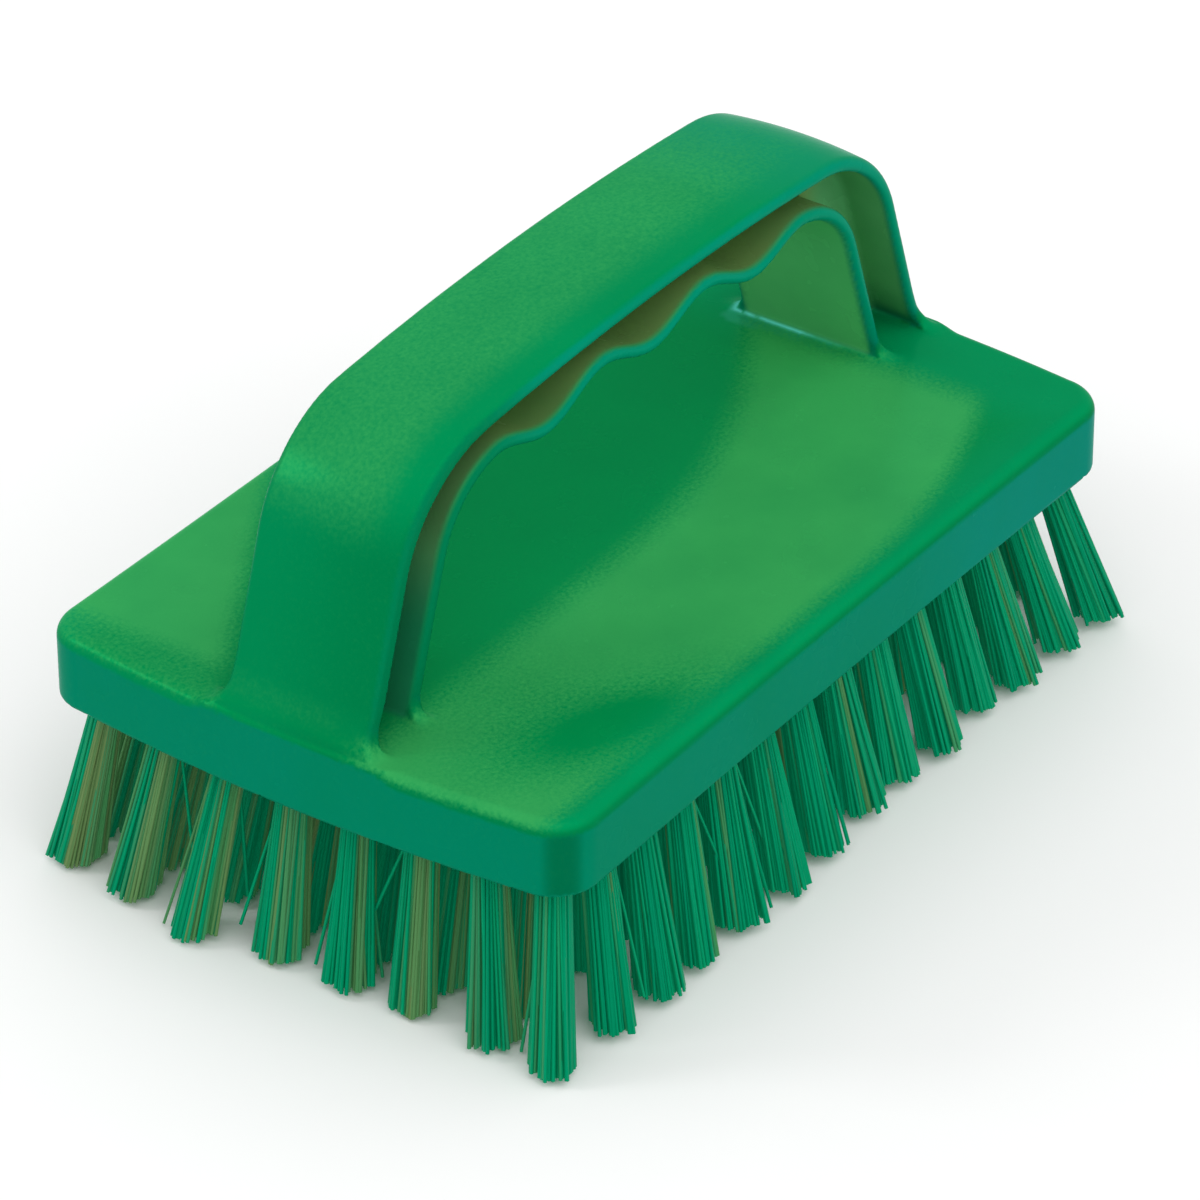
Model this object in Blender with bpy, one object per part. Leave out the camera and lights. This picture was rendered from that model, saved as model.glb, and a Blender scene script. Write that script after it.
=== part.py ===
"""Hand scrubbing brush: one moulded block with a D-shaped finger-grip handle,
and rows of bristle tufts held in the underside by flat wire anchors.

Metres, +Z up. X runs along the block, Y across it. The origin is under the
middle of the brush, level with the bristle tips.
"""
import math

import bmesh
import bpy
from mathutils import Vector

# Block
block_length = 0.146
block_width = 0.095
block_height = 0.012
end_bow = 0.0024
side_dip = 0.0005
corner_radius = 0.0074
top_edge_radius = 0.0024
bottom_edge_break = 0.0004

# Handle: an arch of I-section, with an outer skin, a web and an inner flange
handle_width = 0.0252
handle_rise = 0.0429
handle_crown = 0.0008
handle_bend_radius = 0.023
skin_thickness = 0.0024
web_thickness = 0.007
foot_radius = 0.0038
foot_setback = 0.0005
foot_embed = 0.0022
handle_lean = math.radians(18.2)
handle_top_slope = math.radians(4.7)

# Finger grip: the inner flange
flange_thickness = 0.0024
flange_width = 0.0248
grip_depth_at_foot = 0.0135
grip_depth_at_top = 0.008
grip_bend_radius = 0.013
grip_lean = math.radians(15.0)
finger_pitch = 0.0265
finger_wave = 0.003
finger_gaps = 3

# Bristles
trim_length = 0.030
row_count = 14
tufts_per_row = 8
tuft_edge_margin = 0.0077
tuft_root_diameter = 0.0045
tuft_tip_diameter = 0.0064
strand_root_gap = 0.0005
strand_tip_gap = 0.0009
strand_embed = 0.0005
end_splay = 0.0076
side_splay = 0.0055

# Backing slices, with a slot in each for the anchors
slice_thickness = 0.004
slice_margin = 0.0012
anchor_width = 0.0049
anchor_height = 0.002
anchor_neck_height = 0.0007
anchor_thickness = 0.00035
seat_clearance = 0.0003
cutter_overrun = 0.001

# Shares
crown_shoulder_share = 0.55
crown_drop_share = 0.3
flange_flare_share = 0.85
strand_round_share = 0.74

# Facets
smooth_angle = math.radians(35.0)
corner_steps = 6
side_steps = 7
edge_steps = 3
foot_steps = 3
bend_steps = 6
top_steps = 32
lip_steps = 3

underside = trim_length
block_top = underside + block_height
grip_rise = handle_rise - grip_depth_at_top
foot_reach = top_edge_radius - foot_setback
row_pitch = (block_length - 2 * tuft_edge_margin) / (row_count - 1)
tuft_pitch = (block_width - 2 * tuft_edge_margin) / (tufts_per_row - 1)
slice_length = (tufts_per_row - 1) * tuft_pitch + tuft_root_diameter + 2 * slice_margin
slice_width = row_pitch - seat_clearance


def clear_scene():
    for old in list(bpy.data.objects):
        bpy.data.objects.remove(old, do_unlink=True)


def surface(name, colour, roughness, metallic=0.0):
    material = bpy.data.materials.new(name)
    material.use_nodes = True
    shader = material.node_tree.nodes["Principled BSDF"]
    shader.inputs["Base Color"].default_value = colour
    shader.inputs["Roughness"].default_value = roughness
    shader.inputs["Metallic"].default_value = metallic
    return material


def finished_mesh(bm, name):
    """Mesh with outward faces, smooth across all but its real edges."""
    bmesh.ops.recalc_face_normals(bm, faces=bm.faces)
    mesh = bpy.data.meshes.new(name)
    bm.to_mesh(mesh)
    bm.free()
    mesh.shade_smooth()
    mesh.set_sharp_from_angle(angle=smooth_angle)
    return mesh


def place(name, mesh, material=None, location=(0, 0, 0)):
    thing = bpy.data.objects.new(name, mesh)
    bpy.context.scene.collection.objects.link(thing)
    thing.location = location
    if material and not mesh.materials:
        mesh.materials.append(material)
    return thing


def extrude_outline(bm, outline, move):
    """Prism from a closed outline; returns its two end faces."""
    base = bm.faces.new([bm.verts.new(point) for point in outline])
    grown = bmesh.ops.extrude_face_region(bm, geom=[base], use_keep_orig=True)["geom"]
    verts = [item for item in grown if isinstance(item, bmesh.types.BMVert)]
    bmesh.ops.translate(bm, verts=verts, vec=move)
    cap = next(item for item in grown if isinstance(item, bmesh.types.BMFace))
    return base, cap


def round_edges(bm, face, radius, steps):
    bmesh.ops.bevel(bm, geom=face.edges[:], offset=radius, segments=steps, profile=0.5,
                    affect='EDGES')


def loft(bm, rings):
    """Closed body through rings of equal point counts, capped at both ends."""
    loops = [[bm.verts.new(point) for point in ring] for ring in rings]
    count = len(rings[0])
    for lower, upper in zip(loops, loops[1:]):
        for i in range(count):
            j = (i + 1) % count
            bm.faces.new((lower[i], lower[j], upper[j], upper[i]))
    bm.faces.new(loops[0])
    bm.faces.new(loops[-1])


def combine(target, tool, operation):
    """Boolean the hidden tool into the target."""
    tool.hide_render = True
    tool.display_type = 'WIRE'
    modifier = target.modifiers.new(tool.name, 'BOOLEAN')
    modifier.object = tool
    modifier.operation = operation
    modifier.solver = 'EXACT'


def block_outline():
    """Plan of the block at its underside: bowed ends, slightly hollow long sides."""
    half = (block_length / 2 - corner_radius, block_width / 2 - corner_radius)
    bows = (end_bow, -side_dip)
    outline = []
    for side in range(4):
        reach = half[side % 2]
        span = half[(side + 1) % 2]
        bow = bows[side % 2]
        edge = []
        for i in range(side_steps):
            t = 2 * i / side_steps - 1
            edge.append((reach + corner_radius + bow * (1 - t * t), span * t))
        for i in range(corner_steps):
            angle = math.pi / 2 * i / corner_steps
            edge.append((reach + corner_radius * math.cos(angle),
                         span + corner_radius * math.sin(angle)))
        turn = math.pi / 2 * side
        for out, along in edge:
            outline.append(Vector((out * math.cos(turn) - along * math.sin(turn),
                                   out * math.sin(turn) + along * math.cos(turn), underside)))
    return outline


def foot_stations():
    """Height above the block and sideways flare, up the fillet of a foot."""
    stations = []
    for i in range(foot_steps + 1):
        angle = math.pi / 2 * i / foot_steps
        stations.append((foot_radius * (1 - math.cos(angle)), foot_radius * (1 - math.sin(angle))))
    return stations


def arch(foot, rise, lean, bend_radius):
    """Side view of an arch from the foot at +X to the one at -X, as (x, z) points.

    Each half is a straight leg, a bend and a shallow top arc. The leg's length
    and the top arc's radius are solved so that the half arch spans foot by rise.
    """
    start = math.pi / 2 - lean
    slope = handle_top_slope
    run = foot - bend_radius * (math.sin(start) - math.sin(slope))
    climb = rise - bend_radius * (math.cos(slope) - math.cos(start))
    a, b = math.cos(start), math.sin(slope)
    c, d = math.sin(start), 1 - math.cos(slope)
    leg = (run * d - climb * b) / (a * d - b * c)
    top_radius = (a * climb - c * run) / (a * d - b * c)
    half = []
    for height, _ in foot_stations():
        half.append((height / math.tan(start), height))
    corner = (leg * a, leg * c)
    for i in range(bend_steps + 1):
        angle = start + (slope - start) * i / bend_steps
        half.append((corner[0] + bend_radius * (math.sin(start) - math.sin(angle)),
                     corner[1] + bend_radius * (math.cos(angle) - math.cos(start))))
    corner = half[-1]
    half_steps = top_steps // 2
    for i in range(1, half_steps + 1):
        angle = slope * (1 - i / half_steps)
        half.append((corner[0] + top_radius * (math.sin(slope) - math.sin(angle)),
                     corner[1] + top_radius * (math.cos(angle) - math.cos(slope))))
    right = [(foot - inward, block_top + up) for inward, up in half]
    left = [(-x, z) for x, z in right[-2::-1]]
    return right + left


def finger_waves(points):
    """Lower the grip between the fingers: each gap is one full wave."""
    reach = finger_gaps * finger_pitch / 2
    waved = []
    for x, z in points:
        if abs(x) < reach and z > block_top + grip_rise / 2:
            z -= finger_wave / 2 * (1 + math.cos(2 * math.pi * x / finger_pitch))
        waved.append((x, z))
    return waved


def outward_normals(points):
    normals = []
    last = len(points) - 1
    for i in range(last + 1):
        x0, z0 = points[max(i - 1, 0)]
        x1, z1 = points[min(i + 1, last)]
        length = math.hypot(x1 - x0, z1 - z0)
        normals.append(((z1 - z0) / length, (x0 - x1) / length))
    return normals


def lip(half_width, thickness):
    """Rounded edge of a plate, as (y, depth) from its face to its back."""
    radius = thickness / 2
    points = []
    for i in range(lip_steps + 1):
        angle = math.pi / 2 - math.pi * i / lip_steps
        points.append((half_width - radius + radius * math.cos(angle), radius - radius * math.sin(angle)))
    return points


def handle_rings():
    """Sections of the handle; its feet flare sideways, and out to the block's ends."""
    foot = block_length / 2 + end_bow - top_edge_radius
    outer = arch(foot, handle_rise, handle_lean, handle_bend_radius)
    grip = finger_waves(arch(foot - grip_depth_at_foot, grip_rise, grip_lean, grip_bend_radius))
    outer_normals = outward_normals(outer)
    grip_normals = outward_normals(grip)
    flares = [flare for _, flare in foot_stations()]
    plain = [0] * (len(outer) - 2 * len(flares))
    flares = flares + plain + flares[::-1]
    rings = []
    for (ox, oz), (onx, onz), (gx, gz), (gnx, gnz), flare in zip(
            outer, outer_normals, grip, grip_normals, flares):
        out = math.copysign(foot_reach * flare / foot_radius, ox)
        half = handle_width / 2 + flare
        grip_half = flange_width / 2 + flare * flange_flare_share
        skin = [(half * crown_shoulder_share, -handle_crown * (1 - crown_drop_share))]
        skin += lip(half, skin_thickness)
        skin.append((web_thickness / 2, skin_thickness))
        flange = [(web_thickness / 2, flange_thickness)]
        flange += [(y, flange_thickness - depth) for y, depth in lip(grip_half, flange_thickness)]
        side = [(y, ox + out - onx * depth, oz - onz * depth) for y, depth in skin]
        side += [(y, gx + gnx * height, gz + gnz * height) for y, height in flange]
        ridge = Vector((ox + out + onx * handle_crown, 0, oz + onz * handle_crown))
        ring = [ridge]
        ring += [Vector((x, y, z)) for y, x, z in side]
        ring += [Vector((x, -y, z)) for y, x, z in reversed(side)]
        rings.append(ring)
    sunk = block_top - foot_embed
    first = [Vector((point.x, point.y, sunk)) for point in rings[0]]
    last = [Vector((point.x, point.y, sunk)) for point in rings[-1]]
    return [first] + rings + [last]


def block_mesh():
    bm = bmesh.new()
    base, top = extrude_outline(bm, block_outline(), Vector((0, 0, block_height)))
    round_edges(bm, top, top_edge_radius, edge_steps)
    round_edges(bm, base, bottom_edge_break, 1)
    return finished_mesh(bm, "handle_block")


def handle_mesh():
    bm = bmesh.new()
    loft(bm, handle_rings())
    return finished_mesh(bm, "handle_arch")


def pocket_mesh():
    """The room that the slices fill, with their clearance all round."""
    half_x = (row_count * row_pitch + seat_clearance) / 2
    half_y = slice_length / 2 + seat_clearance
    floor = underside - cutter_overrun
    bm = bmesh.new()
    outline = [Vector((x, y, floor)) for x, y in
               ((-half_x, -half_y), (half_x, -half_y), (half_x, half_y), (-half_x, half_y))]
    rise = cutter_overrun + slice_thickness + seat_clearance
    extrude_outline(bm, outline, Vector((0, 0, rise)))
    return finished_mesh(bm, "slice_pocket")


def build_block(material):
    """The moulding: block and handle in one, with a pocket for the bristle rows."""
    block = place("handle_block", block_mesh(), material)
    combine(block, place("handle_arch", handle_mesh()), 'UNION')
    combine(block, place("slice_pocket", pocket_mesh()), 'DIFFERENCE')


def strand_ring(centre, diameter, gap, turn_x, turn_y):
    """A quarter of a tuft: four points round one strand's section."""
    inner = gap / 2
    outer = diameter / 2
    bulge = outer * strand_round_share
    corners = ((inner, inner), (outer, inner), (bulge, bulge), (inner, outer))
    return [centre + Vector((turn_x * x, turn_y * y, 0)) for x, y in corners]


def tuft_places(x):
    """Root and tip centres of one row's tufts, which fan out from the brush's middle."""
    limit_x = block_length / 2 - tuft_edge_margin
    limit_y = block_width / 2 - tuft_edge_margin
    places = []
    for i in range(tufts_per_row):
        y = (i - (tufts_per_row - 1) / 2) * tuft_pitch
        lean_x = end_splay * x / limit_x
        lean_y = side_splay * y / limit_y
        root = Vector((0, y, underside + strand_embed))
        tip = Vector((lean_x, y + lean_y, 0))
        places.append((root, tip))
    return places


def strands_mesh(name, x):
    bm = bmesh.new()
    for root, tip in tuft_places(x):
        for turn_x in (-1, 1):
            for turn_y in (-1, 1):
                loft(bm, [strand_ring(root, tuft_root_diameter, strand_root_gap, turn_x, turn_y),
                          strand_ring(tip, tuft_tip_diameter, strand_tip_gap, turn_x, turn_y)])
    return finished_mesh(bm, name)


def slice_mesh(name):
    """A strip of the backing across the block, slotted along its top for the anchors."""
    half = slice_width / 2
    slot = anchor_thickness / 2 + seat_clearance
    top = underside + slice_thickness
    floor = top - anchor_height - seat_clearance
    section = ((-half, underside), (half, underside), (half, top), (slot, top),
               (slot, floor), (-slot, floor), (-slot, top), (-half, top))
    bm = bmesh.new()
    outline = [Vector((x, -slice_length / 2, z)) for x, z in section]
    extrude_outline(bm, outline, Vector((0, slice_length, 0)))
    return finished_mesh(bm, name)


def anchor_mesh():
    """The flat wire anchors of one row, joined by a low neck along the slot."""
    crest = underside + slice_thickness
    floor = crest - anchor_height
    neck = floor + anchor_neck_height
    side = []
    for i in range(tufts_per_row):
        y = (i - (tufts_per_row - 1) / 2) * tuft_pitch
        left = y - anchor_width / 2
        right = y + anchor_width / 2
        side += [(left, neck), (left, crest), (right, crest), (right, neck)]
    side[0] = (side[0][0], floor)
    side[-1] = (side[-1][0], floor)
    bm = bmesh.new()
    outline = [Vector((-anchor_thickness / 2, y, z)) for y, z in side]
    extrude_outline(bm, outline, Vector((anchor_thickness, 0, 0)))
    return finished_mesh(bm, "anchor_row")


def build_rows(bristle, steel):
    """Rows of tufts along the block, each with its slice of backing and its anchors."""
    anchors = anchor_mesh()
    for i in range(row_count):
        x = (i - (row_count - 1) / 2) * row_pitch
        name = f"tuft_row_{i + 1:02d}"
        row = place(name, slice_mesh(name), bristle, (x, 0, 0))
        strands = f"strands_{i + 1:02d}"
        combine(row, place(strands, strands_mesh(strands, x), None, (x, 0, 0)), 'UNION')
        place(f"anchor_row_{i + 1:02d}", anchors, steel, (x, 0, 0))


clear_scene()
build_block(surface("moulded_green", (0.02, 0.33, 0.13, 1.0), 0.32))
build_rows(surface("bristle_green", (0.02, 0.27, 0.13, 1.0), 0.45),
           surface("anchor_steel", (0.62, 0.62, 0.6, 1.0), 0.3, 1.0))
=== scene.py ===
import math

import bpy
import numpy as np
from mathutils import Matrix, Vector


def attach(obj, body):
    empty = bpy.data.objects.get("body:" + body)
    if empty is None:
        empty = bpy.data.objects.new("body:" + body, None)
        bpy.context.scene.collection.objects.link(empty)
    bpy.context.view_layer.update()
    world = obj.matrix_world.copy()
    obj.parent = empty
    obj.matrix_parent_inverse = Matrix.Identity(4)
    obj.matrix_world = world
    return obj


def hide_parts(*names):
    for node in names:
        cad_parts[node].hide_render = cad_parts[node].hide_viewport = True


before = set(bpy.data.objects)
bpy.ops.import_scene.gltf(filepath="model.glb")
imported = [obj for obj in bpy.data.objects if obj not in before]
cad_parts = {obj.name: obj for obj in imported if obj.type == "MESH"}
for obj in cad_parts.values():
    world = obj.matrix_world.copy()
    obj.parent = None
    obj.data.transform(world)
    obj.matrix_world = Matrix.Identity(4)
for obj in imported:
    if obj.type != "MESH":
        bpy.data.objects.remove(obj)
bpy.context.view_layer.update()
print("frame loaded,", len(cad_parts), "nodes")


# small helpers

def addObject(name, data):
    thing = bpy.data.objects.new(name, data)
    bpy.context.scene.collection.objects.link(thing)
    return thing


def takeMesh(thing):
    # the object's mesh with its modifiers worked in, which are then removed
    mesh = bpy.data.meshes.new_from_object(thing.evaluated_get(bpy.context.evaluated_depsgraph_get()))
    thing.modifiers.clear()
    return mesh


def meshPoints(mesh):
    points = np.empty(len(mesh.vertices) * 3)
    mesh.vertices.foreach_get("co", points)
    return points.reshape(-1, 3)


def addNumbers(mesh, name, values):
    # one number for each point of the mesh
    layer = mesh.attributes.new(name, "FLOAT", "POINT")
    layer.data.foreach_set("value", values)


def ramp01(value, start, end):
    # smooth step from 0 at start to 1 at end
    t = np.clip((value - start) / (end - start), 0, 1)
    return t * t * (3 - 2 * t)


def fall01(value, start, end):
    # smooth step from 1 at start down to 0 at end
    return ramp01(-value, -end, -start)


def bow(share):
    # shallow curve: 1 in the middle, 0 at the ends
    return 1 - np.minimum(share, 1) ** 2


def fillet(height, radius):
    # quarter circle flare: 1 at the foot, 0 at one radius above it
    t = 1 - np.clip(height / radius, 0, 1)
    return 1 - np.sqrt(np.maximum(1 - t * t, 0))


def blendMin(a, b, width):
    # union of two distances with a soft joint
    h = np.maximum(width - np.abs(a - b), 0) / width
    return np.minimum(a, b) - h * h * width / 4


def blendMax(a, b, width):
    # what two distances share, with a soft joint
    return -blendMin(-a, -b, width)


def roundedBox(a, b, radius):
    # distance to a corner rounded at radius, a and b are the distances to its two sides
    p, q = a + radius, b + radius
    return np.hypot(np.maximum(p, 0), np.maximum(q, 0)) + np.minimum(np.maximum(p, q), 0) - radius


# camera, solved from the straight edges of the block in the photo

view = dict(place=(-0.75186, -0.52892, 0.62773), right=(0.57233, -0.82002, -0.00272),
            up=(0.45100, 0.31201, 0.83621), lens=218.13, sensor=36, nearest=0.05, farthest=20)

cameraData = bpy.data.cameras.new("photoCamera")
cameraData.sensor_width = view["sensor"]
cameraData.lens = view["lens"]
cameraData.clip_start = view["nearest"]
cameraData.clip_end = view["farthest"]
camera = addObject("photoCamera", cameraData)
sideways = Vector(view["right"]).normalized()
backwards = sideways.cross(Vector(view["up"])).normalized()
turn = Matrix((sideways, backwards.cross(sideways), backwards)).transposed()
camera.matrix_world = Matrix.Translation(view["place"]) @ turn.to_4x4()
bpy.context.scene.camera = camera
print("camera placed")


# the shape of the moulding, as distances in metres; leans and slopes are in degrees

block = dict(length=0.146, width=0.095, bottom=0.0296, top=0.042, endBow=0.0024, sideDip=0.0005,
             corner=0.0074, topEdge=0.0024, bottomEdge=0.0006,
             footEdge=0.0007, footEdgeAcross=(0.0140, 0.0190), footEdgeAlong=(0.060, 0.066))
skin = dict(foot=0.0730, rise=0.0429, lean=18.2, bend=0.023, slope=4.7, halfWidth=0.0126, thickness=0.0024,
            crown=0.0008, lip=0.00115, flare=0.0040, nearExtra=0.0009, nearLeg=(0.040, 0.056),
            reach=0.0016, reachHeight=0.0070, reachPower=1.6, farReachShare=0.4)
grip = dict(foot=0.0598, rise=0.0348, lean=18.5, bend=0.0155, slope=4.7, halfWidth=0.0124, thickness=0.0024,
            lip=0.00115, flare=0.0036, pitch=0.0265, wave=0.0037, gaps=3)
web = dict(halfWidth=0.0035, inset=0.0019, joint=0.0018, footJoint=0.0014, endJoint=0.0006,
           endFrom=(0.0705, 0.0735), sunk=0.0012, cutInset=0.0003, cutJoint=0.0010)


def archDistance(x, z, size):
    # distance outside an arch: a leaning leg, a bend, then a shallow top arc
    lean, slope, r = math.radians(size["lean"]), math.radians(size["slope"]), size["bend"]
    legX, legZ, topX, topZ = math.cos(lean), math.sin(lean), math.sin(slope), math.cos(slope)
    run = size["foot"] - r * (legX - topX)
    climb = size["rise"] - r * (topZ - legZ)
    det = legZ * (1 - topZ) - topX * legX
    leg = (run * (1 - topZ) - topX * climb) / det
    topRadius = (legZ * climb - legX * run) / det
    h = z - block["top"]
    legSide = (x - size["foot"]) * legX + h * legZ
    topSide = np.hypot(x, h - size["rise"] + topRadius) - topRadius
    vx = x - (size["foot"] - leg * legZ - r * legX)
    vz = h - (leg * legX - r * legZ)
    inBend = (legX * vz - legZ * vx > 0) & (vx * topZ - vz * topX > 0)
    return np.where(inBend, np.hypot(vx, vz) - r, np.maximum(legSide, topSide))


def planDistance(x, y):
    # seen from above: ends bowed out, long sides slightly hollow, round corners
    halfX, halfY, r = block["length"] / 2, block["width"] / 2, block["corner"]
    bowX = block["endBow"] * bow(y / (halfY - r))
    dipY = block["sideDip"] * bow(x / (halfX - r))
    return roundedBox(x - halfX - bowX, y - halfY + dipY, r)


def fingerWave(x):
    # how far the waves bring the flange down
    wave = grip["wave"] / 2 * (1 + np.cos(2 * np.pi * x / grip["pitch"]))
    return wave * (x < grip["gaps"] * grip["pitch"] / 2)


def mouldingDistance(points):
    x, y, z = np.abs(points[:, 0]), np.abs(points[:, 1]), points[:, 2]
    h = z - block["top"]
    plan = planDistance(x, y)
    plainEdge = np.maximum(ramp01(y, *block["footEdgeAcross"]), fall01(x, *block["footEdgeAlong"]))
    topEdge = block["footEdge"] + (block["topEdge"] - block["footEdge"]) * plainEdge
    underside = roundedBox(plan, block["bottom"] - z, block["bottomEdge"])
    body = np.maximum(roundedBox(plan, h, topEdge), underside)

    # outer skin, flared at its feet and brought out to the block's ends
    legShare = np.where(points[:, 0] > 0, skin["farReachShare"], 1.0)
    reach = skin["reach"] * (1 - np.clip(h / skin["reachHeight"], 0, 1)) ** skin["reachPower"] * legShare
    half = skin["halfWidth"] + skin["flare"] * fillet(h, skin["flare"])
    outer = archDistance(x - reach, z, skin) - skin["crown"] * bow(y / half)
    t = (skin["thickness"] + skin["nearExtra"] * ramp01(-points[:, 0], *skin["nearLeg"])) / 2
    plate = roundedBox(np.abs(-outer - t) - t, y - half, skin["lip"])

    # inner flange with the finger waves
    inner = archDistance(x, z + fingerWave(x), grip)
    gripHalf = grip["halfWidth"] + grip["flare"] * fillet(h, grip["flare"])
    t = grip["thickness"] / 2
    flange = roundedBox(np.abs(inner - t) - t, y - gripHalf, grip["lip"])

    # web between them, and the whole handle cut off at the block's outline
    middle = np.maximum(np.maximum(outer, -inner) + web["inset"], y - web["halfWidth"])
    handle = blendMin(blendMin(middle, plate, web["joint"]), flange, web["joint"])
    handle = np.maximum(handle, -h - web["sunk"])
    handle = blendMax(handle, plan + web["cutInset"], web["cutJoint"])
    joint = web["footJoint"] + (web["endJoint"] - web["footJoint"]) * ramp01(x, *web["endFrom"])
    return blendMin(body, handle, joint)


def gradient(points, step=0.00002):
    # how the distance changes along each axis
    slopes = np.empty_like(points)
    for axis in range(3):
        shift = np.zeros(3)
        shift[axis] = step
        slopes[:, axis] = (mouldingDistance(points + shift) - mouldingDistance(points - shift)) / (2 * step)
    return slopes


def settle(points, rounds, longest=0.0006, flattest=0.05):
    # moves points onto the surface where the distance is nought
    for _ in range(rounds):
        slopes = gradient(points)
        away = mouldingDistance(points) / np.maximum((slopes ** 2).sum(1), flattest)
        points -= slopes * np.clip(away, -longest, longest)[:, None]
    return points


# materials; a noise is given as its scale, detail and roughness, and a span as the part of it that is used

class Nodes:
    # shorthand for building a node tree
    def __init__(self, tree):
        self.tree = tree

    def add(self, kind, *values, **settings):
        node = self.tree.nodes.new(kind)
        for key, value in settings.items():
            setattr(node, key, value)
        for i, value in enumerate(values):
            self.put(node.inputs[i], value)
        return node

    def put(self, socket, value):
        # the value is another node's socket, or plain
        if isinstance(value, bpy.types.NodeSocket):
            self.tree.links.new(value, socket)
        else:
            socket.default_value = value

    def calc(self, operation, *values):
        return self.add("ShaderNodeMath", *values, operation=operation).outputs[0]

    def plus(self, a, b):
        return self.calc("ADD", a, b)

    def minus(self, a, b):
        return self.calc("SUBTRACT", a, b)

    def times(self, product, *factors):
        for factor in factors:
            product = self.calc("MULTIPLY", product, factor)
        return product

    def vector(self, *values):
        return self.add("ShaderNodeCombineXYZ", *values).outputs[0]

    def vectorCalc(self, operation, *values):
        return self.add("ShaderNodeVectorMath", *values, operation=operation).outputs[0]

    def mix(self, factor, a, b):
        node = self.add("ShaderNodeMix", data_type="RGBA")
        self.put(node.inputs[0], factor)
        self.put(node.inputs[6], a)
        self.put(node.inputs[7], b)
        return node.outputs[2]

    def noise(self, vector, scale, detail=2.0, rough=0.5):
        node = self.add("ShaderNodeTexNoise")
        self.put(node.inputs["Vector"], vector)
        setSockets(node, {"Scale": scale, "Detail": detail, "Roughness": rough})
        return node.outputs[0]

    def span(self, value, low, high, newLow, newHigh):
        return self.add("ShaderNodeMapRange", value, low, high, newLow, newHigh).outputs[0]

    def attribute(self, name, output="Fac"):
        return self.add("ShaderNodeAttribute", attribute_name=name).outputs[output]


def rgba(color):
    return (*color, 1.0)


def setSockets(node, values):
    for name, value in values.items():
        node.inputs[name].default_value = value


def newMaterial(name):
    material = bpy.data.materials.new(name)
    material.use_nodes = True
    shader = material.node_tree.nodes["Principled BSDF"]
    return material, Nodes(material.node_tree), shader


# tones of the one green plastic, most of them painted light and shade; the block's top is darker green in
# painted shade, bluer towards its far end, with lighter olive for the painted-light patches
mouldedColors = dict(dark=(0.000, 0.255, 0.068), darkFar=(0.000, 0.280, 0.094), paintedLight=(0.040, 0.385, 0.100),
                     handleTop=(0.010, 0.275, 0.080), handleSide=(0.000, 0.262, 0.082),
                     handleFar=(0.004, 0.270, 0.120),
                     # tones by facing, as painted light and shade: darker on leaning legs and lighter on
                     # their +y half, teal on upright sides and lighter towards the far end, lighter teal on
                     # the handle's upright rims and darker green on the near leg's rims
                     leg=(0.000, 0.190, 0.058), legBack=(0.000, 0.228, 0.076),
                     side=(0.000, 0.210, 0.115), sideFar=(0.000, 0.218, 0.165), rim=(0.000, 0.265, 0.155),
                     # the block's near upright corner darker in painted shade, and the flange's inner face a
                     # lighter olive, painted light in its shade
                     rimLow=(0.000, 0.200, 0.080), corner=(0.000, 0.138, 0.060), inner=(0.092, 0.480, 0.165),
                     # a painted highlight, then the channels' brown olive painted shade, lighter at the far
                     # leg as painted light in deep shade, and greener at their feet
                     glint=(0.100, 0.620, 0.520), channel=(0.230, 0.400, 0.120),
                     channelFar=(0.135, 0.465, 0.185), channelFoot=(0.015, 0.235, 0.105))
mouldedFinish = dict(grain=(1500.0, 3.0, 0.6), grainSpan=(0.25, 0.75), grainSize=(-0.5, 0.5),
                     borderGrain=3.2, plainGrain=0.10, cloud=(55.0, 3.0), cloudSpan=(0.35, 0.70),
                     cloudDepth=(0.0, 0.22), gloss=(140.0, 3.0), glossSpan=(0.3, 0.7), roughness=(0.22, 0.29),
                     ior=1.49, specular=0.008, tint=(0.03, 1.0, 0.85), metallic=0.09,
                     fine=(700.0, 2.0), coarse=(110.0, 2.0), coarseWeight=2.0,
                     bumpStrength=0.08, bumpDepth=0.0002)


def makeMouldedGreen():
    material, n, shader = newMaterial("mouldedGreen")
    look = mouldedFinish
    where = n.add("ShaderNodeTexCoord").outputs["Object"]
    sun = n.attribute("sun")
    # grainy borders between the plain green and the lighter olive green of the painted-light patches
    grain = n.span(n.noise(where, *look["grain"]), *look["grainSpan"], *look["grainSize"])
    unsure = n.plus(n.times(sun, n.minus(1.0, sun), look["borderGrain"]), look["plainGrain"])
    mixed = n.span(n.plus(sun, n.times(grain, unsure)), 0.0, 1.0, 0.0, 1.0)
    color = n.mix(mixed, n.attribute("paint", "Color"), rgba(mouldedColors["paintedLight"]))
    cloud = n.span(n.noise(where, *look["cloud"]), *look["cloudSpan"], *look["cloudDepth"])
    n.put(shader.inputs["Base Color"], n.mix(cloud, color, rgba(mouldedColors["leg"])))
    gloss = n.span(n.noise(where, *look["gloss"]), *look["glossSpan"], *look["roughness"])
    n.put(shader.inputs["Roughness"], gloss)
    setSockets(shader, {"IOR": look["ior"], "Specular IOR Level": look["specular"],
                        "Specular Tint": rgba(look["tint"]), "Metallic": look["metallic"]})
    bump = n.add("ShaderNodeBump")
    setSockets(bump, {"Strength": look["bumpStrength"], "Distance": look["bumpDepth"]})
    coarse = n.times(n.noise(where, *look["coarse"]), look["coarseWeight"])
    n.put(bump.inputs["Height"], n.plus(n.noise(where, *look["fine"]), coarse))
    n.put(shader.inputs["Normal"], bump.outputs[0])
    return material


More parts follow.
